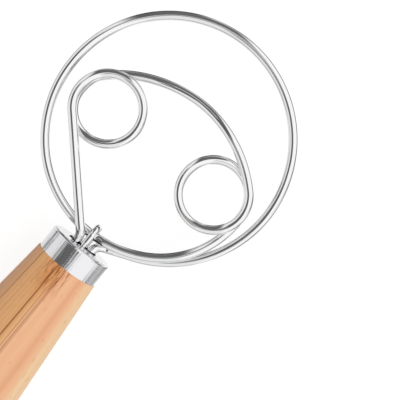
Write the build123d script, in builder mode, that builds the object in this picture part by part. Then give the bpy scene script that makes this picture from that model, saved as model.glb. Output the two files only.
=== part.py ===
from build123d import *
from math import asin, atan2, ceil, cos, degrees, hypot, pi, radians, sin, tan
import os

# A dough whisk. One steel wire is bent into a straight leg, two small eyes with a bridge between
# them, a curved leg and a big ring round them all. Both its ends and a staple of thinner wire, which
# clasps the ring at the neck, are set in resin in a turned wooden handle with a steel ferrule.
#
# Lengths are in millimetres and angles in degrees. The handle lies along X with the ring at its +X
# end, the ring lies level, +Y is to the left and +Z is up. The origin is on the surface that the
# whisk lies on, under the middle of its length.

# Wires
wire_diameter = 3.4         # of the head
staple_diameter = 2.6
turn_gap = 0.65             # between two passes of the head wire
side_gap = 0.1              # between wires side by side in the slot, and inside the staple's loop

# Big ring, with angles measured round its centre from +X
ring_diameter = 90.0        # outside
neck_reach = 4.4            # the ring's nearest centre line, from the ferrule's face
neck_inset = 2.1            # how much tighter the ring is bent at the neck
neck_join_angle = 135.0     # where that stretch meets the ring
tail_drop_angle = 60.0      # on the other side, where the ring starts to pass under the curved leg
tail_low_angle = 140.0      # where it has passed under
tail_leave_angle = 158.0    # where it leaves the circle for the slot

# Eyes and bridge
eye_opening = 21.0          # clear width inside an eye
eye_setback = 5.2           # the eyes' centres, back from the ring's centre
eye_side_gap = 4.1          # between each eye and the ring, across the handle's axis
eye_shift = -0.6            # the middle between the eyes, from the handle's axis
bridge_gap = 26.7           # between the centre lines of bridge and ring, at the far end
bridge_level_angle = 20.0   # stretch of the bridge next to each eye that stays level

# Legs and neck
leg_corner_reach = 3.1      # corner of the straight leg, from the ferrule's face
leg_bend_radius = 4.5
curved_leg_inset = 7.2      # how much tighter the curved leg is bent than the neck
tail_bend_radius = 4.0
tail_climb_length = 1.0     # straight stretch in which the ring's end starts to climb to the slot
neck_dip = 0.5              # how far the wire dips where the staple clasps it
dip_slope_angle = 5.0       # stretches of the dip, round the centre of the neck's curve
dip_before_angle = 2.0
dip_after_angle = 10.0
staple_side = -0.4          # the staple's plane, from the handle's axis
staple_rise = 2.3           # height of its upper wire, and depth of its lower wire, in the slot
staple_bend_radius = 3.0
slot_rise = 1.7             # height of the leg, and depth of the ring's end, in the slot
wire_depth = 24.0           # the wires' ends, behind the ferrule's face

# Ferrule
ferrule_diameter = 23.5
ferrule_length = 8.5
ferrule_wall = 0.8
ferrule_edge_radius = 1.0
ferrule_inner_radius = 0.4
slot_gap = 0.15             # between the slot's long edges and the wires
slot_end_gap = 0.45         # between its ends and the wires

# Handle
handle_length = 220.0       # wood behind the ferrule
shoulder_step = 0.4         # how far the shoulder stands out round the ferrule
shoulder_edge_radius = 0.5
belly_corner_back = 66.0    # where the front flare and the rear taper would meet, behind the ferrule
belly_corner_diameter = 36.6
belly_blend = 16.0          # stretch of the flare that the rounded belly takes up
butt_diameter = 22.0
butt_edge_radius = 8.0
tenon_gap = 0.05            # between the tenon and the ferrule
tenon_chamfer = 0.6
resin_wall = 0.7            # least resin between a wire and the wood
resin_gap = 0.03            # between the resin and what it fills
resin_end = 3.8             # resin behind the wires' ends
hang_hole_diameter = 6.0
hang_hole_back = 15.0       # the hole's axis, from the butt's end
hang_hole_edge = 0.8

overrun = 1.0               # how far cutting shapes pass the surface that they cut
gap_step = 0.8              # distance between the points that the least gap is measured on

# Sizes that follow
wire_radius = wire_diameter / 2
staple_radius = staple_diameter / 2
ring_radius = (ring_diameter - wire_diameter) / 2
neck_radius = ring_radius - neck_inset
curved_leg_radius = neck_radius - curved_leg_inset
eye_radius = (eye_opening + wire_diameter) / 2
eye_spread = ring_radius - eye_side_gap - wire_diameter - eye_radius
pass_step = wire_diameter + turn_gap
loop_radius = wire_radius + staple_radius + side_gap
leg_side = staple_side + loop_radius
tail_side = staple_side - loop_radius

# The belly is an arc that touches the flare and the rear taper
shoulder_diameter = ferrule_diameter + 2 * shoulder_step
flare_rise = (belly_corner_diameter - shoulder_diameter) / 2
taper_drop = (belly_corner_diameter - butt_diameter) / 2
flare_angle = atan2(flare_rise, belly_corner_back)
taper_angle = atan2(taper_drop, handle_length - belly_corner_back)
belly_arc_radius = belly_blend / tan((flare_angle + taper_angle) / 2)
belly_radius = (belly_corner_diameter / 2 - belly_blend * sin(flare_angle)
                + belly_arc_radius * (1 - cos(flare_angle)))

# The whisk lies on its belly, and the origin is under the middle of its length
axis_height = belly_radius
head_length = neck_reach + 2 * ring_radius + wire_radius
face_x = (handle_length + ferrule_length - head_length) / 2

# The head is drawn from the middle of the ferrule's face, with the handle's axis as its X
head_plane = Plane(origin=(face_x, 0, axis_height))
face_plane = Plane(origin=(face_x, 0, axis_height), x_dir=(0, 1, 0), z_dir=(1, 0, 0))
staple_plane = Plane(origin=(face_x, staple_side, axis_height), x_dir=(1, 0, 0), z_dir=(0, -1, 0))
handle_axis = Axis((face_x, 0, axis_height), (1, 0, 0))


def polar(centre, radius, angle):
    """The point of a circle at an angle."""
    return centre + Vector(radius * cos(radians(angle)), radius * sin(radians(angle)))


def way_to(start, end):
    """The direction from one point to another, from -180 to 180."""
    return degrees(atan2(end.Y - start.Y, end.X - start.X))


def touching_length(start, centre, radius):
    """The distance from a point to where a line from it touches a circle."""
    return ((centre - start).length ** 2 - radius ** 2) ** 0.5


def touching_way(start, centre, radius):
    """How far the line from a point that touches a circle turns away from the circle's centre."""
    return degrees(asin(radius / (centre - start).length))


def touching_centre(first, first_reach, second, second_reach):
    """The point at given distances from two others, to the right of the way from first to second."""
    span = (second - first).length
    along = (first_reach ** 2 - second_reach ** 2 + span ** 2) / (2 * span)
    aside = (first_reach ** 2 - along ** 2) ** 0.5
    ahead = (second - first) / span
    return first + ahead * along + Vector(ahead.Y, -ahead.X) * aside


class Route:
    """The centre line of a bent wire, drawn forwards stretch by stretch on a plane.

    Each stretch can rise above the plane. Where two stretches meet, the wire has the mean of their
    slopes, or none if one of them is level.
    """

    def __init__(self, start, way):
        self.place = start
        self.way = way
        self.slope = 0
        self.stations = []

    def mark(self, slope):
        ahead = Vector(cos(radians(self.way)), sin(radians(self.way)), slope)
        self.stations.append((self.place, ahead.normalized()))

    def start_stretch(self, slope):
        self.mark((self.slope + slope) / 2 if self.slope * slope else 0)
        self.slope = slope

    def run(self, length, rise=0):
        """Go straight on."""
        self.start_stretch(rise / length)
        self.place = polar(self.place, length, self.way) + Vector(0, 0, rise)

    def bend(self, radius, turn, rise=0):
        """Turn left, or right if the turn is below zero, in equal parts of up to a quarter turn."""
        parts = ceil(abs(turn) / 90)
        side = 90 if turn > 0 else -90
        slope = rise / (radius * radians(abs(turn)))
        self.start_stretch(slope)
        for part in range(parts):
            if part:
                self.mark(slope)
            centre = polar(self.place, radius, self.way + side)
            self.way += turn / parts
            self.place = polar(centre, radius, self.way - side) + Vector(0, 0, rise / parts)

    def draw(self, plane):
        """Draw the route on its plane, as two arcs from each station to the next."""
        self.start_stretch(0)
        places = [plane.from_local_coords(place) for place, ahead in self.stations]
        ways = [plane.from_local_coords(ahead) - plane.origin for place, ahead in self.stations]
        for index in range(len(places) - 1):
            draw_biarc(places[index], ways[index], places[index + 1], ways[index + 1])


def draw_biarc(start, start_way, end, end_way):
    """Draw two arcs that meet smoothly, leave start along start_way and reach end along end_way."""
    step = end - start
    reach = step.dot(start_way + end_way)
    spread = 2 * (1 - start_way.dot(end_way))
    lever = step.dot(step) / (reach + (reach ** 2 + spread * step.dot(step)) ** 0.5)
    join_step = step - (start_way + end_way) * lever
    join = start + start_way * lever + join_step / 2
    draw_arc(start, start_way, join)
    draw_arc(join, join_step.normalized(), end)


def draw_arc(start, way, end):
    """Draw the arc that leaves start along a direction, or a line if end lies straight ahead."""
    if ((end - start).normalized() - way).length < 1e-6:
        Line(start, end)
    else:
        TangentArc(start, end, tangent=way)


def least_gap(line, diameter, apart):
    """The least gap between stretches of a wire that lie apart along its length."""
    steps = round(line.length / gap_step)
    points = [line @ (index / steps) for index in range(steps + 1)]
    far = ceil(apart / gap_step)
    return min((points[first] - points[second]).length
               for first in range(steps + 1) for second in range(first + far, steps + 1)) - diameter


# Centres of the head's round stretches, measured from the ferrule's face
ring_centre = Vector(neck_reach + ring_radius, 0)
eye_middle = ring_centre + Vector(-eye_setback, eye_shift)
left_eye = eye_middle + Vector(0, eye_spread)
right_eye = eye_middle - Vector(0, eye_spread)

# The bridge touches both eyes from outside
bridge_beyond_eyes = ring_radius + eye_setback - bridge_gap - eye_radius
bridge_setback = (eye_spread ** 2 - bridge_beyond_eyes ** 2) / (2 * bridge_beyond_eyes)
bridge_centre = eye_middle - Vector(bridge_setback, 0)
bridge_radius = (left_eye - bridge_centre).length + eye_radius
bridge_angle = way_to(bridge_centre, left_eye)

# The neck's curve touches the ring from inside, and the curved leg touches both the neck's curve
# and the right eye
neck_centre = polar(ring_centre, neck_inset, neck_join_angle)
curved_leg_centre = touching_centre(neck_centre, curved_leg_inset,
                                    right_eye, curved_leg_radius - eye_radius)
curved_leg_start = way_to(curved_leg_centre, right_eye)
neck_start = way_to(neck_centre, curved_leg_centre)
staple_angle = degrees(asin((neck_centre.Y - staple_side) / neck_radius)) - 180

# The straight leg runs from its corner to where it touches the left eye
leg_corner = Vector(leg_corner_reach, leg_side)
leg_way = way_to(leg_corner, left_eye) + touching_way(leg_corner, left_eye, eye_radius)
leg_tangent = leg_bend_radius * tan(radians(leg_way / 2))
leg_height = pass_step - neck_dip
leg_lead = ferrule_wall + leg_corner_reach - leg_tangent
leg_climb = (leg_height - slot_rise) / (leg_lead + leg_bend_radius * radians(leg_way))

# The ring's end leaves the circle straight, and bends into the slot
tail_start = polar(ring_centre, ring_radius, -tail_leave_angle)
tail_way = 270 - tail_leave_angle
tail_turn = 180 - tail_way
tail_tangent = tail_bend_radius * tan(radians(tail_turn / 2))
tail_run = (tail_side - tail_start.Y) / sin(radians(tail_way)) - tail_tangent
tail_corner_reach = tail_start.X + (tail_side - tail_start.Y) / tan(radians(tail_way))
tail_climb = (pass_step - slot_rise) / (tail_climb_length + tail_bend_radius * radians(tail_turn))

# Turns of the eyes: each is a full turn and what its two wires leave over, one pass lower each time
left_eye_turn = 360 + 90 + leg_way - bridge_angle
right_eye_turn = 360 - bridge_angle - curved_leg_start
left_eye_drop = pass_step * left_eye_turn / 360
right_eye_drop = pass_step * right_eye_turn / 360

# Head wire, from its end beside the straight leg to its end beside the ring
route = Route(Vector(-wire_depth, leg_side, slot_rise), way=0)
route.run(wire_depth - ferrule_wall)
route.run(leg_lead, rise=leg_climb * leg_lead)
route.bend(leg_bend_radius, leg_way, rise=leg_climb * leg_bend_radius * radians(leg_way))
route.run(touching_length(leg_corner, left_eye, eye_radius) - leg_tangent)
route.bend(eye_radius, -left_eye_turn, rise=-left_eye_drop)
route.bend(bridge_radius, -bridge_level_angle)
route.bend(bridge_radius, -2 * (bridge_angle - bridge_level_angle),
           rise=left_eye_drop - leg_height + right_eye_drop)
route.bend(bridge_radius, -bridge_level_angle)
route.bend(eye_radius, -right_eye_turn, rise=-right_eye_drop)
route.bend(curved_leg_radius, neck_start - curved_leg_start)
route.bend(neck_radius, staple_angle + dip_before_angle + dip_slope_angle - neck_start)
route.bend(neck_radius, -dip_slope_angle, rise=-neck_dip)
route.bend(neck_radius, -dip_before_angle - dip_after_angle)
route.bend(neck_radius, neck_join_angle - 360 + dip_after_angle - staple_angle, rise=neck_dip)
route.bend(ring_radius, -neck_join_angle - tail_drop_angle)
route.bend(ring_radius, tail_drop_angle - tail_low_angle, rise=-pass_step)
route.bend(ring_radius, tail_low_angle - tail_leave_angle)
route.run(tail_run - tail_climb_length)
route.run(tail_climb_length, rise=tail_climb * tail_climb_length)
route.bend(tail_bend_radius, tail_turn, rise=tail_climb * tail_bend_radius * radians(tail_turn))
route.run(wire_depth + tail_corner_reach - tail_tangent)

with BuildPart() as head_wire:
    with BuildLine() as head_line:
        route.draw(head_plane)
    with BuildSketch(Plane(origin=head_line.line @ 0, z_dir=head_line.line % 0)):
        Circle(wire_radius)
    sweep()
head_wire.part.label = "head_wire"

# Neck staple: out of the slot, round the dipped wire at the neck and back in under itself
loop_centre = Vector(polar(neck_centre, neck_radius, staple_angle).X, -neck_dip)
upper_corner = Vector(0, staple_rise)
lower_corner = Vector(0, -staple_rise)
upper_way = way_to(upper_corner, loop_centre) + touching_way(upper_corner, loop_centre, loop_radius)
lower_way = way_to(lower_corner, loop_centre) - touching_way(lower_corner, loop_centre, loop_radius)
upper_tangent = staple_bend_radius * tan(radians(upper_way / 2))
lower_tangent = staple_bend_radius * tan(radians(-lower_way / 2))

staple_route = Route(Vector(-wire_depth, staple_rise), way=0)
staple_route.run(wire_depth - upper_tangent)
staple_route.bend(staple_bend_radius, upper_way)
staple_route.run(touching_length(upper_corner, loop_centre, loop_radius) - upper_tangent)
staple_route.bend(loop_radius, lower_way - upper_way - 180)
staple_route.run(touching_length(lower_corner, loop_centre, loop_radius) - lower_tangent)
staple_route.bend(staple_bend_radius, -lower_way)
staple_route.run(wire_depth - lower_tangent)

with BuildPart() as neck_staple:
    with BuildLine() as staple_line:
        staple_route.draw(staple_plane)
    with BuildSketch(Plane(origin=staple_line.line @ 0, z_dir=staple_line.line % 0)):
        Circle(staple_radius)
    sweep()
neck_staple.part.label = "neck_staple"

# Ferrule: a drawn cup with a flat face, slotted for the four wires
ferrule_radius = ferrule_diameter / 2
slot_length = 2 * (abs(tail_side) + wire_radius + slot_end_gap)
slot_width = 2 * (max(staple_rise + staple_radius, slot_rise + wire_radius) + slot_gap)

with BuildPart() as ferrule:
    with BuildSketch(head_plane):
        with BuildLine():
            Polyline((0, 0), (0, ferrule_radius), (-ferrule_length, ferrule_radius),
                     (-ferrule_length, ferrule_radius - ferrule_wall),
                     (-ferrule_wall, ferrule_radius - ferrule_wall), (-ferrule_wall, 0), close=True)
        make_face()
        fillet(vertices().group_by(Axis.X)[-1].sort_by(Axis.Y)[-1], ferrule_edge_radius)
        fillet(vertices().sort_by_distance((-ferrule_wall, ferrule_radius - ferrule_wall))[0],
               ferrule_inner_radius)
    revolve(axis=handle_axis)
    with BuildSketch(face_plane.offset(overrun)):
        RectangleRounded(slot_length, slot_width, wire_radius + slot_gap)
    extrude(amount=-ferrule_wall - 2 * overrun, mode=Mode.SUBTRACT)
ferrule.part.label = "ferrule"

# Handle: turned wood with a tenon for the ferrule, a socket for the wires and a hanging hole
tenon_radius = ferrule_radius - ferrule_wall - tenon_gap
tenon_front = -ferrule_wall
butt_end = -ferrule_length - handle_length
socket_radius = hypot(tail_side, slot_rise) + wire_radius + resin_wall + resin_gap
socket_depth = wire_depth - ferrule_wall + resin_end

with BuildPart() as handle:
    with BuildSketch(head_plane):
        with BuildLine():
            Polyline((tenon_front, 0), (tenon_front, tenon_radius), (-ferrule_length, tenon_radius),
                     (-ferrule_length, shoulder_diameter / 2),
                     (-ferrule_length - belly_corner_back, belly_corner_diameter / 2),
                     (butt_end, butt_diameter / 2), (butt_end, 0), close=True)
        make_face()
        chamfer(vertices().sort_by_distance((tenon_front, tenon_radius))[0], tenon_chamfer)
        fillet(vertices().sort_by_distance((-ferrule_length, shoulder_diameter / 2))[0],
               shoulder_edge_radius)
        fillet(vertices().sort_by(Axis.Y)[-1], belly_arc_radius)
        fillet(vertices().sort_by_distance((butt_end, butt_diameter / 2))[0], butt_edge_radius)
    revolve(axis=handle_axis)
    with Locations(face_plane.offset(tenon_front)):
        Hole(socket_radius, depth=socket_depth)
    with BuildSketch(head_plane):
        with Locations((butt_end + hang_hole_back, 0)):
            Circle(hang_hole_diameter / 2)
    extrude(amount=butt_diameter, both=True, mode=Mode.SUBTRACT)
    hole_rims = edges(Select.LAST).filter_by(GeomType.LINE, reverse=True)
    fillet(hole_rims, hang_hole_edge)
handle.part.label = "handle"

# Resin: fills the socket behind the ferrule's face, round the four wires
with BuildPart() as socket_resin:
    with BuildSketch(face_plane.offset(-ferrule_wall)):
        Circle(socket_radius - resin_gap)
        with Locations((leg_side, slot_rise), (tail_side, -slot_rise)):
            Circle(wire_radius + resin_gap, mode=Mode.SUBTRACT)
        with Locations((staple_side, staple_rise), (staple_side, -staple_rise)):
            Circle(staple_radius + resin_gap, mode=Mode.SUBTRACT)
    extrude(amount=-wire_depth + ferrule_wall)
    with BuildSketch(face_plane.offset(-wire_depth)):
        Circle(socket_radius - resin_gap)
    extrude(amount=-resin_end)
socket_resin.part.label = "socket_resin"

os.makedirs("parts", exist_ok=True)
for piece in (handle, ferrule, head_wire, neck_staple, socket_resin):
    export_step(piece.part, f"parts/{piece.part.label}.step")

centre_line = head_line.wire()
gap = least_gap(centre_line, wire_diameter, 2 * eye_radius)
section = head_wire.part.volume / (centre_line.length * pi * wire_radius ** 2)
print(f"head wire: {centre_line.length:.1f} mm long, least gap to itself {gap:.2f} mm")
print(f"head wire's volume is {section:.4f} of its length times its section")
print(f"ferrule's face at x {face_x:.2f}, axis at z {axis_height:.2f}, belly {2 * belly_radius:.2f} across")
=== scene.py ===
from math import asin, atan2, ceil, cos, degrees, radians, sin, tan

import bpy
from mathutils import Matrix, Vector


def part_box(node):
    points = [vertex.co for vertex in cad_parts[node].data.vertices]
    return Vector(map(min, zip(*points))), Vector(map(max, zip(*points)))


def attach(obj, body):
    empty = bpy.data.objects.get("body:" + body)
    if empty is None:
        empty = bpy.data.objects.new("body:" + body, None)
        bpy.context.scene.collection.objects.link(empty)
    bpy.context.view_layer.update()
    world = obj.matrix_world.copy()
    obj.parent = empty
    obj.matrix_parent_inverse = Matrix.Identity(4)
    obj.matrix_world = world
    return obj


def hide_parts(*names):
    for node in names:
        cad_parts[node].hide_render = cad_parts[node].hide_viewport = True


# Dough whisk. Metres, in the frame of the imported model: the handle lies along X, the ring is at
# its +X end, +Z is up and the floor is at 0.

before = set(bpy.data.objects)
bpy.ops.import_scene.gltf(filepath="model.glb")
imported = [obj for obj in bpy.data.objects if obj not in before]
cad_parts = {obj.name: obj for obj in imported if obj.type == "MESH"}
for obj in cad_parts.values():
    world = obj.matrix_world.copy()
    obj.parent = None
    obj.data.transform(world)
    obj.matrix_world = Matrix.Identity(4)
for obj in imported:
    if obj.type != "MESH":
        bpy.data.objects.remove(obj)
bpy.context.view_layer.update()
scene = bpy.context.scene
print("model loaded")


# Nodes

class Flow:                     # a node's output, which can be added, multiplied and so on
    def __init__(self, maker, socket):
        self.maker, self.socket = maker, socket

    def math(self, operation, *others):
        return self.maker.flow("ShaderNodeMath", {"operation": operation},
                               {index: value for index, value in enumerate((self,) + others)})

    def __add__(self, other):
        return self.math("ADD", other)

    def __sub__(self, other):
        return self.math("SUBTRACT", other)

    def __rsub__(self, other):
        return (self * -1).math("ADD", other)

    def __mul__(self, other):
        return self.math("MULTIPLY", other)

    def __truediv__(self, other):
        return self.math("DIVIDE", other)

    def __abs__(self):
        return self.math("ABSOLUTE")

    __radd__ = __add__
    __rmul__ = __mul__

    def atLeast(self, other):
        return self.math("MAXIMUM", other)

    def rises(self, low, high):         # 0 below low, 1 above high, smooth between
        return self.maker.flow("ShaderNodeMapRange", {"interpolation_type": "SMOOTHSTEP"},
                               {"Value": self, "From Min": low, "From Max": high})

    def within(self, start, full, fade, end):       # rises up to full, and falls from fade on
        return self.rises(start, full) * (1 - self.rises(fade, end))


class Maker:                    # makes the nodes of one tree
    def __init__(self, tree):
        self.tree = tree

    def node(self, kind, settings=None, sockets=None):
        node = self.tree.nodes.new(kind)
        for name, value in (settings or {}).items():
            if name == "stops":
                ramp = node.color_ramp
                while len(ramp.elements) < len(value):
                    ramp.elements.new(0.5)
                for element, (place, colour) in zip(ramp.elements, value):
                    element.position = place
                    element.color = (*colour, 1)
            else:
                setattr(node, name, value)
        for name, value in (sockets or {}).items():
            socket = node.inputs[name]
            if isinstance(value, Flow):
                self.tree.links.new(value.socket, socket)
            else:
                socket.default_value = value
        return node

    def flow(self, kind, settings=None, sockets=None, output=0):
        return Flow(self, self.node(kind, settings, sockets).outputs[output])

    def parts(self, vector):
        split = self.node("ShaderNodeSeparateXYZ", sockets={0: vector})
        return [Flow(self, output) for output in split.outputs]

    def vector(self, x, y, z):
        return self.flow("ShaderNodeCombineXYZ", sockets={0: x, 1: y, 2: z})

    def noise(self, vector, scale=1.0, detail=1.0, roughness=0.5):
        return self.flow("ShaderNodeTexNoise", {"noise_dimensions": "3D"},
                         {"Vector": vector, "Scale": scale, "Detail": detail,
                          "Roughness": roughness})

    def blend(self, factor, first, second):
        return self.flow("ShaderNodeMix", {"data_type": "RGBA"},
                         {0: factor, 6: first, 7: second}, output=2)


noiseMiddle = 0.5               # what a noise is on average


def colour(hexCode):            # a written colour as linear light
    parts = [int(hexCode[index:index + 2], 16) / 255 for index in (0, 2, 4)]
    return tuple(part / 12.92 if part < 0.04045 else ((part + 0.055) / 1.055) ** 2.4
                 for part in parts)


def newMaterial(name):
    material = bpy.data.materials.new(name)
    material.use_nodes = True
    material.node_tree.nodes.clear()
    maker = Maker(material.node_tree)
    surface = maker.node("ShaderNodeBsdfPrincipled")
    output = maker.node("ShaderNodeOutputMaterial")
    maker.tree.links.new(surface.outputs[0], output.inputs[0])
    return material, maker, surface


def connect(maker, surface, values):
    for name, value in values.items():
        if isinstance(value, Flow):
            maker.tree.links.new(value.socket, surface.inputs[name])
        else:
            surface.inputs[name].default_value = value


# Photograph's view

view = {
    "centre": (0.10605, -0.0217, 0.0178),       # what the middle of the picture shows
    "distance": 0.29,
    "fieldWidth": 0.1396,                       # seen at that distance
    "rightWay": (0.632, -0.775, 0.0),           # the picture's right, along the floor
    "upWay": (0.775, 0.632, 0.0),
    "sensorWidth": 36.0,                        # in millimetres
    "nearest": 0.01,                            # that the camera sees
}


def addCamera():
    rightWay = Vector(view["rightWay"]).normalized()
    backWay = rightWay.cross(Vector(view["upWay"])).normalized()
    upWay = backWay.cross(rightWay)
    data = bpy.data.cameras.new("camera")
    data.sensor_width = view["sensorWidth"]
    data.sensor_fit = "HORIZONTAL"
    data.lens = data.sensor_width * view["distance"] / view["fieldWidth"]
    data.clip_start = view["nearest"]
    camera = bpy.data.objects.new("camera", data)
    turn = Matrix((rightWay, upWay, backWay)).transposed().to_4x4()
    camera.matrix_world = Matrix.Translation(
        Vector(view["centre"]) + backWay * view["distance"]) @ turn
    scene.collection.objects.link(camera)
    scene.camera = camera


addCamera()
print("camera placed")


# Steel wire: bent routes, drawn forwards stretch by stretch

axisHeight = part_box("handle")[1].z / 2
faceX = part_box("ferrule")[1].x

wire = {
    "diameter": 0.0034,
    "turnGap": 0.00065,         # between two passes of the head wire
    "sideGap": 0.0001,          # between wires side by side in the slot
    "depth": 0.024,             # the wires' ends, behind the ferrule's face
    "ferruleWall": 0.0008,
    "slotRise": 0.0017,         # height of the leg, and depth of the ring's end, in the slot
    "sides": 40,                # of a wire's section
    "meshGap": 0.00002,         # keeps the wires' arcs inside the solids' flat facets
    "stepAngle": 2.5,           # degrees between the rings of a bend
    "stepLength": 0.0012,       # and at most this far apart
    "stationTurn": 90.0,        # most degrees of a bend from one station to the next
    "straightTurn": 0.0001,     # half an arc's turn, in radians, under which it is drawn straight
}
head = {
    "ringDiameter": 0.090,      # outside
    "neckReach": 0.0044,        # the ring's nearest centre line, from the ferrule's face
    "neckInset": 0.0021,        # how much tighter the ring is bent at the neck
    "neckJoin": 135.0,          # where that stretch meets the ring, in degrees round it from +X
    "tailDrop": 60.0,           # on its other side, where it starts to pass under the curved leg
    "tailLow": 140.0,           # where it has passed under
    "tailLeave": 158.0,         # where it leaves the circle for the slot
    "eyeOpening": 0.021,        # clear width inside an eye
    "eyeSetback": 0.0052,       # the eyes' centres, back from the ring's centre
    "eyeSideGap": 0.0041,       # between each eye and the ring, across the handle's axis
    "eyeShift": -0.0006,        # the middle between the eyes, from the handle's axis
    "bridgeGap": 0.0267,        # from the bridge to the ring, at the far end
    "bridgeLevel": 20.0,        # degrees of the bridge next to each eye that stay level
    "legCornerReach": 0.0031,   # the straight leg's corner, from the ferrule's face
    "legBend": 0.0045,
    "curvedLegInset": 0.0072,   # how much tighter the curved leg is bent than the neck
    "tailBend": 0.004,
    "tailClimbLength": 0.001,   # straight stretch in which the ring's end starts to climb
    "dip": 0.0005,              # how far the wire dips where the staple clasps it
    "dipSlope": 5.0,            # stretches of the dip, in degrees round the neck's curve
    "dipBefore": 2.0,
    "dipAfter": 10.0,
}
staple = {
    "diameter": 0.0026,
    "side": -0.0004,            # its plane, from the handle's axis
    "rise": 0.0023,             # height of its upper wire, and depth of its lower wire, in the slot
    "bend": 0.003,
}


def polar(centre, radius, angle):
    return centre + Vector((cos(radians(angle)), sin(radians(angle)), 0)) * radius


def wayTo(start, end):
    return degrees(atan2(end.y - start.y, end.x - start.x))


def touchLength(start, centre, radius):         # from a point to where its line touches a circle
    return ((centre - start).length ** 2 - radius ** 2) ** 0.5


def touchTurn(start, centre, radius):
    return degrees(asin(radius / (centre - start).length))


class BentLine:
    def __init__(self, start, way):
        self.place, self.way, self.slope, self.stations = start, way, 0, []

    def mark(self, slope):
        ahead = Vector((cos(radians(self.way)), sin(radians(self.way)), slope))
        self.stations.append((self.place, ahead.normalized()))

    def startStretch(self, slope):      # the mean slope where two climbs meet, else level
        self.mark((self.slope + slope) / 2 if self.slope * slope else 0)
        self.slope = slope

    def run(self, length, rise=0):
        self.startStretch(rise / length)
        self.place = polar(self.place, length, self.way) + Vector((0, 0, rise))

    def bend(self, radius, turn, rise=0):
        parts = ceil(abs(turn) / wire["stationTurn"])
        side = 90 if turn > 0 else -90
        slope = rise / (radius * radians(abs(turn)))
        self.startStretch(slope)
        for part in range(parts):
            if part:
                self.mark(slope)
            centre = polar(self.place, radius, self.way + side)
            self.way += turn / parts
            self.place = polar(centre, radius, self.way - side) + Vector((0, 0, rise / parts))

    def points(self):                   # two smooth arcs from each station to the next
        self.startStretch(0)
        line = [self.stations[0][0]]
        for (start, startWay), (end, endWay) in zip(self.stations, self.stations[1:]):
            step = end - start
            reach = step.dot(startWay + endWay)
            spread = 2 * (1 - startWay.dot(endWay))
            square = step.dot(step)
            lever = square / (reach + (reach ** 2 + spread * square) ** 0.5)
            joinStep = step - (startWay + endWay) * lever
            join = start + startWay * lever + joinStep / 2
            line += arcPoints(start, startWay, join)
            line += arcPoints(join, joinStep.normalized(), end)
        return line


def arcPoints(start, way, end):         # the arc's points after its start
    step = end - start
    half = step.normalized().angle(way, 0)
    if half < wire["straightTurn"]:
        count = max(1, ceil(step.length / wire["stepLength"]))
        return [start + step * (index / count) for index in range(1, count + 1)]
    radius = step.length / (2 * sin(half))
    across = (step - way * step.dot(way)).normalized()
    count = max(ceil(degrees(2 * half) / wire["stepAngle"]),
                ceil(2 * half * radius / wire["stepLength"]))
    turns = [2 * half * index / count for index in range(1, count + 1)]
    return [start + way * (radius * sin(turn)) + across * (radius * (1 - cos(turn)))
            for turn in turns]


wireRadius = wire["diameter"] / 2
passStep = wire["diameter"] + wire["turnGap"]
loopRadius = wireRadius + staple["diameter"] / 2 + wire["sideGap"]
legSide = staple["side"] + loopRadius
tailSide = staple["side"] - loopRadius
ringRadius = (head["ringDiameter"] - wire["diameter"]) / 2
neckRadius = ringRadius - head["neckInset"]
ringCentre = Vector((head["neckReach"] + ringRadius, 0, 0))
neckCentre = polar(ringCentre, head["neckInset"], head["neckJoin"])
stapleAngle = degrees(asin((neckCentre.y - staple["side"]) / neckRadius)) - 180


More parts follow.
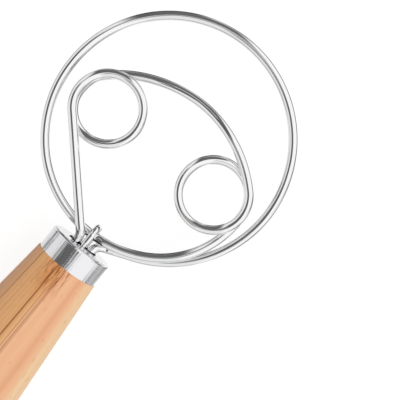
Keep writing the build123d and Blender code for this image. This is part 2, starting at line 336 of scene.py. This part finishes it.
def headLine():
    eyeRadius = (head["eyeOpening"] + wire["diameter"]) / 2
    eyeSpread = ringRadius - head["eyeSideGap"] - wire["diameter"] - eyeRadius
    eyeMiddle = ringCentre + Vector((-head["eyeSetback"], head["eyeShift"], 0))
    leftEye = eyeMiddle + Vector((0, eyeSpread, 0))
    rightEye = eyeMiddle - Vector((0, eyeSpread, 0))

    # The bridge touches both eyes from outside
    beyondEyes = ringRadius + head["eyeSetback"] - head["bridgeGap"] - eyeRadius
    bridgeSetback = (eyeSpread ** 2 - beyondEyes ** 2) / (2 * beyondEyes)
    bridgeCentre = eyeMiddle - Vector((bridgeSetback, 0, 0))
    bridgeRadius = (leftEye - bridgeCentre).length + eyeRadius
    bridgeAngle = wayTo(bridgeCentre, leftEye)

    # The curved leg touches the neck's curve from inside and goes on from the right eye
    inset = head["curvedLegInset"]
    curvedLegRadius = neckRadius - inset
    span = (rightEye - neckCentre).length
    along = (inset ** 2 - (curvedLegRadius - eyeRadius) ** 2 + span ** 2) / (2 * span)
    ahead = (rightEye - neckCentre) / span
    curvedLegCentre = (neckCentre + ahead * along
                       + Vector((ahead.y, -ahead.x, 0)) * (inset ** 2 - along ** 2) ** 0.5)
    curvedLegStart = wayTo(curvedLegCentre, rightEye)
    neckStart = wayTo(neckCentre, curvedLegCentre)

    # The straight leg runs from its corner to where it touches the left eye
    legCorner = Vector((head["legCornerReach"], legSide, 0))
    legWay = wayTo(legCorner, leftEye) + touchTurn(legCorner, leftEye, eyeRadius)
    legTangent = head["legBend"] * tan(radians(legWay / 2))
    legHeight = passStep - head["dip"]
    legLead = wire["ferruleWall"] + head["legCornerReach"] - legTangent
    legClimb = (legHeight - wire["slotRise"]) / (legLead + head["legBend"] * radians(legWay))

    # The ring's end leaves the circle straight, and bends into the slot
    tailStart = polar(ringCentre, ringRadius, -head["tailLeave"])
    tailWay = 270 - head["tailLeave"]
    tailTurn = 180 - tailWay
    tailTangent = head["tailBend"] * tan(radians(tailTurn / 2))
    tailRun = (tailSide - tailStart.y) / sin(radians(tailWay)) - tailTangent
    tailCornerReach = tailStart.x + (tailSide - tailStart.y) / tan(radians(tailWay))
    tailClimb = ((passStep - wire["slotRise"])
                 / (head["tailClimbLength"] + head["tailBend"] * radians(tailTurn)))

    leftTurn = 360 + 90 + legWay - bridgeAngle
    rightTurn = 360 - bridgeAngle - curvedLegStart
    leftDrop = passStep * leftTurn / 360
    rightDrop = passStep * rightTurn / 360

    line = BentLine(Vector((-wire["depth"], legSide, wire["slotRise"])), way=0)
    line.run(wire["depth"] - wire["ferruleWall"])
    line.run(legLead, rise=legClimb * legLead)
    line.bend(head["legBend"], legWay, rise=legClimb * head["legBend"] * radians(legWay))
    line.run(touchLength(legCorner, leftEye, eyeRadius) - legTangent)
    line.bend(eyeRadius, -leftTurn, rise=-leftDrop)
    line.bend(bridgeRadius, -head["bridgeLevel"])
    line.bend(bridgeRadius, -2 * (bridgeAngle - head["bridgeLevel"]),
              rise=leftDrop - legHeight + rightDrop)
    line.bend(bridgeRadius, -head["bridgeLevel"])
    line.bend(eyeRadius, -rightTurn, rise=-rightDrop)
    line.bend(curvedLegRadius, neckStart - curvedLegStart)
    line.bend(neckRadius, stapleAngle + head["dipBefore"] + head["dipSlope"] - neckStart)
    line.bend(neckRadius, -head["dipSlope"], rise=-head["dip"])
    line.bend(neckRadius, -head["dipBefore"] - head["dipAfter"])
    line.bend(neckRadius, head["neckJoin"] - 360 + head["dipAfter"] - stapleAngle, rise=head["dip"])
    line.bend(ringRadius, -head["neckJoin"] - head["tailDrop"])
    line.bend(ringRadius, head["tailDrop"] - head["tailLow"], rise=-passStep)
    line.bend(ringRadius, head["tailLow"] - head["tailLeave"])
    line.run(tailRun - head["tailClimbLength"])
    line.run(head["tailClimbLength"], rise=tailClimb * head["tailClimbLength"])
    line.bend(head["tailBend"], tailTurn, rise=tailClimb * head["tailBend"] * radians(tailTurn))
    line.run(wire["depth"] + tailCornerReach - tailTangent)
    origin = Vector((faceX, 0, axisHeight))
    return [origin + point for point in line.points()]


def stapleLine():
    loopCentre = Vector((polar(neckCentre, neckRadius, stapleAngle).x, -head["dip"], 0))
    upper, lower = Vector((0, staple["rise"], 0)), Vector((0, -staple["rise"], 0))
    upperWay = wayTo(upper, loopCentre) + touchTurn(upper, loopCentre, loopRadius)
    lowerWay = wayTo(lower, loopCentre) - touchTurn(lower, loopCentre, loopRadius)
    upperTangent = staple["bend"] * tan(radians(upperWay / 2))
    lowerTangent = staple["bend"] * tan(radians(-lowerWay / 2))

    line = BentLine(Vector((-wire["depth"], staple["rise"], 0)), way=0)
    line.run(wire["depth"] - upperTangent)
    line.bend(staple["bend"], upperWay)
    line.run(touchLength(upper, loopCentre, loopRadius) - upperTangent)
    line.bend(loopRadius, lowerWay - upperWay - 180)
    line.run(touchLength(lower, loopCentre, loopRadius) - lowerTangent)
    line.bend(staple["bend"], -lowerWay)
    line.run(wire["depth"] - lowerTangent)
    return [Vector((faceX + point.x, staple["side"], axisHeight + point.y))     # it stands upright
            for point in line.points()]


# A tree that turns a line into a round wire. It keeps a coordinate that follows the wire: two
# parts across the section and one along.

def wireTree():
    tree = bpy.data.node_groups.new("drawn wire", "GeometryNodeTree")
    face = tree.interface
    face.new_socket("Geometry", in_out="INPUT", socket_type="NodeSocketGeometry")
    for name, kind in (("Radius", "NodeSocketFloat"), ("Sides", "NodeSocketInt"),
                       ("Finish", "NodeSocketMaterial")):
        face.new_socket(name, in_out="INPUT", socket_type=kind)
    face.new_socket("Geometry", in_out="OUTPUT", socket_type="NodeSocketGeometry")
    maker = Maker(tree)
    given = maker.node("NodeGroupInput")
    line, radius, sides, finish = [Flow(maker, given.outputs[name])
                                   for name in ("Geometry", "Radius", "Sides", "Finish")]

    def capture(shape, value, kind):
        node = maker.node("GeometryNodeCaptureAttribute")
        node.capture_items.new(kind, "kept")
        tree.links.new(shape.socket, node.inputs[0])
        tree.links.new(value.socket, node.inputs[1])
        return Flow(maker, node.outputs[0]), Flow(maker, node.outputs[1])

    path = maker.flow("GeometryNodeMeshToCurve", sockets={0: line})
    path, along = capture(path, maker.flow("GeometryNodeSplineParameter", output="Length"), "FLOAT")
    section = maker.flow("GeometryNodeCurvePrimitiveCircle", {"mode": "RADIUS"},
                         {"Resolution": sides, "Radius": radius})
    section, spot = capture(section, maker.flow("GeometryNodeInputPosition"), "VECTOR")
    tube = maker.flow("GeometryNodeCurveToMesh",
                      sockets={"Curve": path, "Profile Curve": section, "Fill Caps": True})
    across = maker.parts(spot)
    tube = maker.flow("GeometryNodeStoreNamedAttribute",
                      {"data_type": "FLOAT_VECTOR", "domain": "POINT"},
                      {"Geometry": tube, "Name": "wirePlace",
                       "Value": maker.vector(across[0], across[1], along)})
    tube = maker.flow("GeometryNodeSetShadeSmooth",
                      sockets={"Geometry": tube, "Shade Smooth": True})
    tube = maker.flow("GeometryNodeRealizeInstances", sockets={0: tube})
    tube = maker.flow("GeometryNodeSetMaterial", sockets={"Geometry": tube, "Material": finish})
    maker.node("NodeGroupOutput", sockets={0: tube})
    return tree


def makeWire(name, points, diameter, tree, finish):
    mesh = bpy.data.meshes.new(name)
    mesh.from_pydata(points, [(index, index + 1) for index in range(len(points) - 1)], [])
    piece = bpy.data.objects.new(name, mesh)
    scene.collection.objects.link(piece)
    modifier = piece.modifiers.new("wire", "NODES")
    modifier.node_group = tree
    inputs = {"Radius": diameter / 2 - wire["meshGap"], "Sides": wire["sides"], "Finish": finish}
    for item in tree.interface.items_tree:
        if item.in_out == "INPUT" and item.name in inputs:
            modifier[item.identifier] = inputs[item.name]
    bpy.context.view_layer.update()
    evaluated = piece.evaluated_get(bpy.context.evaluated_depsgraph_get())
    solid = bpy.data.meshes.new_from_object(evaluated)
    piece.modifiers.remove(modifier)
    piece.data = solid
    bpy.data.meshes.remove(mesh)
    return piece


# Finishes. The sizes of a pattern are in cells for each metre.

wireFinish = {
    "steel": colour("F2F2F3"),
    "roughness": 0.04,
    "streakRoughness": 0.04,
    "streakCells": (1400, 1400, 22),    # across the wire both ways, and along it
    "streakDetail": 3.0,
    "wearCells": 90.0,
    "wearDetail": 2.0,
    "bumpStrength": 0.25,
    "drawLines": 0.00002,               # height of the drawing lines
}
ferruleFinish = {
    "steel": colour("ECECEE"),
    "roughness": 0.15,
    "streakRoughness": 0.12,
    "streakCells": (60, 1500, 1500),    # along the handle, across it and up
    "streakDetail": 3.0,
    "bumpStrength": 0.5,
    "drawLines": 0.0002,
}


def drawnStreaks(maker, parts, finish):
    scaled = [part * cells for part, cells in zip(parts, finish["streakCells"])]
    return maker.noise(maker.vector(*scaled), detail=finish["streakDetail"])


def connectSteel(maker, surface, finish, streaks, rough):
    bump = maker.flow("ShaderNodeBump", sockets={"Strength": finish["bumpStrength"],
                                                 "Distance": finish["drawLines"],
                                                 "Height": streaks})
    connect(maker, surface, {"Base Color": (*finish["steel"], 1), "Metallic": 1.0,
                             "Roughness": rough, "Normal": bump})


def makeWireSteel():
    material, maker, surface = newMaterial("polished wire")
    place = maker.flow("ShaderNodeAttribute", {"attribute_name": "wirePlace"}, output="Vector")
    streaks = drawnStreaks(maker, maker.parts(place), wireFinish)
    wear = maker.noise(place, wireFinish["wearCells"], wireFinish["wearDetail"])
    rough = (wireFinish["roughness"]
             + wireFinish["streakRoughness"] * (streaks - noiseMiddle + wear - noiseMiddle))
    connectSteel(maker, surface, wireFinish, streaks, rough)
    return material


def makeFerruleSteel():
    material, maker, surface = newMaterial("drawn ferrule")
    x, y, z = maker.parts(maker.flow("ShaderNodeTexCoord", output="Object"))
    streaks = drawnStreaks(maker, (x, y, z - axisHeight), ferruleFinish)
    rough = (ferruleFinish["roughness"]
             + ferruleFinish["streakRoughness"] * (streaks - noiseMiddle))
    connectSteel(maker, surface, ferruleFinish, streaks, rough)
    return material


wood = {
    "pale": colour("F2CDA2"),
    "pink": colour("F2BC93"),
    "band": colour("E3A57D"),
    "tan": colour("E2AA72"),
    # painted shade along the handle's left edge, the side turned from the light
    "paintedShade": colour("CF9C74"),
    "line": colour("8A4614"),
    "ember": colour("DC8A44"),          # warmer wood next to the ferrule
    # Stripes from the right side of the handle, 0, to the left, 1: wood tones, with painted shade
    # darkening the left edge
    "stripesAndShade": [(0.05, "pale"), (0.13, "pale"), (0.19, "pink"), (0.24, "band"), (0.31, "pink"),
                (0.50, "pink"), (0.59, "tan"), (0.86, "tan"), (0.95, "paintedShade")],
    "lean": 0.12,                       # of the stripes, to the right for each step up
    "wander": 0.006,                    # of the stripes, sideways
    "reach": 0.015,                     # distance from the axis at which the grain has its own size
    "leastReach": 0.008,                # nearer the axis it is squeezed no further
    "threadReach": (0.010, 0.012),      # from the handle's middle, where the threads fade and end
    "roughness": 0.5,
    "fibreRoughness": 0.12,
    "gloss": 0.4,
    "bumpStrength": 0.35,
    "bumpHeight": 0.00012,
    # Patterns. Cells are along the handle, across it and up. A pattern comes in between two heights
    # of its noise. Across says at which of the stripes' places it comes in and goes, and behind how
    # far behind the ferrule's face it ends and is full.
    "grain": {
        "drift": {"cells": (9, 40, 40)},
        "cloud": {"cells": (7, 330, 100), "detail": 2.0, "heights": (0.45, 0.7), "strength": 0.35},
        "fibre": {"cells": (25, 1300, 500), "detail": 4.0, "roughness": 0.6,
                  "heights": (0.35, 0.75), "strength": 0.25, "relief": 0.4},
        "ember": {"across": (0.38, 0.54, 0.62, 0.8), "behind": (0.027, 0.012), "strength": 0.5},
        "line": {"cells": (3, 2300, 90), "heights": (0.60, 0.66), "across": (0.46, 0.54),
                 "strength": 0.78},
        "lineBreak": {"cells": (9, 900, 100), "heights": (0.40, 0.48)},
        "thread": {"cells": (5, 5200, 900), "detail": 0.0, "heights": (0.64, 0.71),
                   "across": (0.36, 0.5), "strength": 0.5},
        "dash": {"cells": (230, 2900, 900), "heights": (0.55, 0.60),
                 "across": (0.36, 0.44, 0.68, 0.8), "behind": (0.020, 0.013), "strength": 0.8,
                 "relief": 0.6},
        "pore": {"cells": (260, 2200, 900), "heights": (0.70, 0.76), "strength": 0.35,
                 "relief": 0.5},
    },
}


def makeWood():
    material, maker, surface = newMaterial("oiled beech")
    grain = wood["grain"]
    x, y, z = maker.parts(maker.flow("ShaderNodeTexCoord", output="Object"))
    z = z - axisHeight
    reach = (y * y + z * z).math("SQRT").atLeast(wood["leastReach"]) / wood["reach"]
    y, z = y / reach, z / reach         # so that the grain follows the flare

    def noise(name):
        scaled = [part * cells for part, cells in zip((x, y, z), grain[name]["cells"])]
        given = {key: grain[name][key] for key in ("detail", "roughness") if key in grain[name]}
        return maker.noise(maker.vector(*scaled), **given)

    def shown(name):
        return noise(name).rises(*grain[name]["heights"])

    def near(name):
        end, full = grain[name]["behind"]
        return (x - faceX).rises(-end, -full)

    def paint(tone, mask, name, colourName):
        return maker.blend(mask * grain[name]["strength"], tone, (*wood[colourName], 1))

    # Broad stripes of the wood's tones, darkened towards the left edge with painted shade, mottled,
    # with fibres
    drift = noise("drift") - noiseMiddle
    fromMiddle = y + z * wood["lean"] + drift * wood["wander"]
    across = (fromMiddle / wood["reach"] + 1) / 2
    # the stops paint the handle paler on its right and darker towards its left: wood tones plus
    # painted shade of the light from the right
    stops = [(place, wood[colourName]) for place, colourName in wood["stripesAndShade"]]
    tone = maker.flow("ShaderNodeValToRGB", {"stops": stops}, {"Fac": across})
    tone = paint(tone, shown("cloud"), "cloud", "band")
    fibres = noise("fibre")
    tone = paint(tone, fibres.rises(*grain["fibre"]["heights"]), "fibre", "tan")

    # Warm wood and short dashes by the ferrule, and long dark lines, mostly left of the middle
    tone = paint(tone, across.within(*grain["ember"]["across"]) * near("ember"), "ember", "ember")
    lines = shown("line") * across.rises(*grain["line"]["across"]) * shown("lineBreak")
    threads = (shown("thread") * across.rises(*grain["thread"]["across"])
               * (1 - abs(y).rises(*wood["threadReach"])))
    dashes = shown("dash") * across.within(*grain["dash"]["across"]) * near("dash")
    pores = shown("pore")
    for mask, name in ((lines, "line"), (threads, "thread"), (dashes, "dash"), (pores, "pore")):
        tone = paint(tone, mask, name, "line")

    height = (fibres * grain["fibre"]["relief"] - lines - dashes * grain["dash"]["relief"]
              - pores * grain["pore"]["relief"])
    bump = maker.flow("ShaderNodeBump", sockets={"Strength": wood["bumpStrength"],
                                                 "Distance": wood["bumpHeight"], "Height": height})
    rough = wood["roughness"] + wood["fibreRoughness"] * (fibres - noiseMiddle)
    connect(maker, surface, {"Base Color": tone, "Roughness": rough, "Normal": bump,
                             "Specular IOR Level": wood["gloss"]})
    return material


resin = {
    "colour": colour("4A4038"),
    "speck": colour("2E2822"),
    "cloudCells": 700.0,
    "cloudDetail": 3.0,
    "roughness": 0.45,
    "cloudRoughness": 0.2,
}


def makeResin():
    material, maker, surface = newMaterial("cast resin")
    place = maker.flow("ShaderNodeTexCoord", output="Object")
    cloud = maker.noise(place, resin["cloudCells"], resin["cloudDetail"])
    tone = maker.blend(cloud, (*resin["colour"], 1), (*resin["speck"], 1))
    rough = resin["roughness"] + resin["cloudRoughness"] * (cloud - noiseMiddle)
    connect(maker, surface, {"Base Color": tone, "Roughness": rough})
    return material


wireSteel = makeWireSteel()
ferruleSteel = makeFerruleSteel()
woodGrain = makeWood()
castResin = makeResin()
print("finishes made")


# Pieces

tree = wireTree()
headPiece = makeWire("headWire", headLine(), wire["diameter"], tree, wireSteel)
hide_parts("head_wire")
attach(headPiece, "root")
staplePiece = makeWire("neckStaple", stapleLine(), staple["diameter"], tree, wireSteel)
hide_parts("neck_staple")
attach(staplePiece, "root")
print("wires bent:", [len(piece.data.polygons) for piece in (headPiece, staplePiece)])

for name, finish in (("handle", woodGrain), ("ferrule", ferruleSteel), ("socket_resin", castResin)):
    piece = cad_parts[name]
    piece.data.materials.clear()
    piece.data.materials.append(finish)
print("handle, ferrule and resin finished")


# Studio

studio = {
    "floorSize": 3.0,
    "floorColour": colour("F2F2F2"),
    "floorLift": 0.72,          # share of the glow in the floor's look, so its shadow is faint
    "floorGlow": 1.14,          # and its strength
    "worldLight": 0.72,
    "keyPower": 3.2,
    "keySize": 0.7,
    "keyPlace": (0.45, -0.55, 0.75),
    "keyAimBack": 0.03,         # towards the handle, from what the middle of the picture shows
}


def addFloor():
    half = studio["floorSize"] / 2
    mesh = bpy.data.meshes.new("floor")
    mesh.from_pydata([(-half, -half, 0), (half, -half, 0), (half, half, 0), (-half, half, 0)],
                     [], [(0, 1, 2, 3)])
    floor = bpy.data.objects.new("floor", mesh)
    scene.collection.objects.link(floor)
    material = bpy.data.materials.new("studio floor")
    material.use_nodes = True
    material.node_tree.nodes.clear()
    maker = Maker(material.node_tree)
    matt = maker.flow("ShaderNodeBsdfDiffuse", sockets={"Color": (*studio["floorColour"], 1)})
    paths = maker.node("ShaderNodeLightPath")
    isCamera, isGlossy, isTransmission = [
        Flow(maker, paths.outputs[name])
        for name in ("Is Camera Ray", "Is Glossy Ray", "Is Transmission Ray")]
    seen = isCamera.atLeast(isGlossy).atLeast(isTransmission)
    glow = maker.flow("ShaderNodeEmission", sockets={"Color": (1, 1, 1, 1),
                                                     "Strength": studio["floorGlow"]})
    both = maker.flow("ShaderNodeMixShader",
                      sockets={0: seen * studio["floorLift"], 1: matt, 2: glow})
    maker.node("ShaderNodeOutputMaterial", sockets={"Surface": both})
    mesh.materials.append(material)
    floor.visible_glossy = False        # the world shows the metal a white ground with a soft rim


def addKeyLight():
    data = bpy.data.lights.new("key", "AREA")
    data.shape = "DISK"
    data.size = studio["keySize"]
    data.energy = studio["keyPower"]
    light = bpy.data.objects.new("key", data)
    place = Vector(studio["keyPlace"])
    target = Vector((view["centre"][0] - studio["keyAimBack"], 0, 0))
    light.location = place
    light.rotation_euler = (target - place).to_track_quat("-Z", "Y").to_euler()
    light.visible_glossy = False
    light.visible_camera = False
    scene.collection.objects.link(light)


# What the metal reflects: a white room that is a little brighter on the right, with dark flags.
# Directions are in degrees. Turn is 0 towards the picture's top and 90 towards its right, and tilt
# is 0 straight up. A sector starts, is full, fades and ends at its four angles. An oval has its
# middle at a tilt to the right and to the top, half its length and half its width, and the angle
# from the right to its length.

narrowRim, wideRim = (95, 100, 110, 116), (84, 96, 112, 124)
room = {
    "left": 0.87,               # strength of the room's left side
    "rightMore": 0.17,          # what its right side has on top
    "rise": (-4, 6),            # the tilt to the right at which that starts and is full
    "riseLean": 0.15,
    "wedge": {"turn": (-25, -15, 27, 39), "tilt": (8, 13, 140, 155)},
    "wedgeThin": {"turn": (8, 20), "tilt": (60, 95), "depth": 0.6},     # its lower right part
    "wedgeRoot": {"at": (-8, 12), "half": (10, 5), "angle": 125, "edge": 0.2},
    "arm": {"at": (-28, 12), "half": (24, 13), "angle": 141, "edge": 0.15},
    "armFade": {"tilt": (-46, -18), "depth": 0.5},                      # towards its left end
    "armRoot": {"at": (-15, 0), "half": (21, 7), "angle": 141, "edge": 0.05},
    "arc": {"turn": (-150, -135, -38, -27), "tilt": (24, 29, 41, 46)},
    "darkDepth": 0.86,          # of the flags so far
    "lens": {"at": (2, -20), "half": (8, 5), "angle": 90, "edge": 0.5, "depth": 0.4},
    "low": {"at": (76, -28), "half": (30, 16), "angle": 60, "edge": 0.5, "depth": 0.3},
    "rims": [                   # dark lines near the metal's outlines
        {"turn": (-85, -65, 0, 20), "tilt": narrowRim, "depth": 0.9},
        {"turn": (95, 110, 180, 181), "tilt": narrowRim, "depth": 0.55},
        {"turn": (15, 35, 110, 127), "tilt": wideRim, "depth": 0.9},
        {"turn": (131, 142, 150, 172), "tilt": wideRim, "depth": 0.75},
        {"turn": (-181, -180, -105, -90), "tilt": wideRim, "depth": 0.42},
        {"turn": (96, 127, 131, 168), "tilt": (98, 140, 168, 176), "depth": 0.8},
    ],
}


def lightWorld():
    world = bpy.data.worlds.new("studio")
    scene.world = world
    world.use_nodes = True
    world.node_tree.nodes.clear()
    maker = Maker(world.node_tree)
    way = maker.flow("ShaderNodeTexCoord", output="Generated")

    def share(direction):
        return maker.flow("ShaderNodeVectorMath", {"operation": "DOT_PRODUCT"},
                          {0: way, 1: direction}, output="Value")

    right, up, high = share(view["rightWay"]), share(view["upWay"]), share((0, 0, 1))
    tilt = high.math("ARCCOSINE") * degrees(1)
    turn = right.math("ARCTAN2", up) * degrees(1)
    rightTilt = turn.math("RADIANS").math("SINE") * tilt
    upTilt = turn.math("RADIANS").math("COSINE") * tilt

    def sector(flag):
        return turn.within(*flag["turn"]) * tilt.within(*flag["tilt"])

    def oval(flag):
        dx, dy = rightTilt - flag["at"][0], upTilt - flag["at"][1]
        cosine, sine = cos(radians(flag["angle"])), sin(radians(flag["angle"]))
        along = (dx * cosine + dy * sine) / flag["half"][0]
        side = (dy * cosine - dx * sine) / flag["half"][1]
        return 1 - (along * along + side * side).rises(1 - flag["edge"], 1 + flag["edge"])

    base = ((rightTilt + upTilt * room["riseLean"]).rises(*room["rise"]) * room["rightMore"]
            + room["left"])
    thin, fade = room["wedgeThin"], room["armFade"]
    wedge = sector(room["wedge"]) * (1 - tilt.rises(*thin["tilt"]) * turn.rises(*thin["turn"])
                                     * thin["depth"])
    wedge = wedge.atLeast(oval(room["wedgeRoot"]))
    arm = oval(room["arm"]) * (1 - (1 - rightTilt.rises(*fade["tilt"])) * fade["depth"])
    arm = arm.atLeast(oval(room["armRoot"])).atLeast(sector(room["arc"]))
    shine = base * (1 - wedge * room["darkDepth"]) * (1 - arm * room["darkDepth"])
    for name in ("lens", "low"):
        shine = shine * (1 - oval(room[name]) * room[name]["depth"])
    rim, *otherRims = [sector(flag) * flag["depth"] for flag in room["rims"]]
    for other in otherRims:
        rim = rim.atLeast(other)
    shine = shine * (1 - rim)

    paths = maker.node("ShaderNodeLightPath")
    isCamera = Flow(maker, paths.outputs["Is Camera Ray"])
    isGlossy = Flow(maker, paths.outputs["Is Glossy Ray"])
    strength = isCamera + (1 - isCamera) * (isGlossy * shine
                                            + (1 - isGlossy) * studio["worldLight"])
    background = maker.flow("ShaderNodeBackground", sockets={"Color": (1, 1, 1, 1),
                                                             "Strength": strength})
    maker.node("ShaderNodeOutputWorld", sockets={"Surface": background})


addFloor()
addKeyLight()
lightWorld()
scene.view_settings.view_transform = "Standard"
print("studio lit")
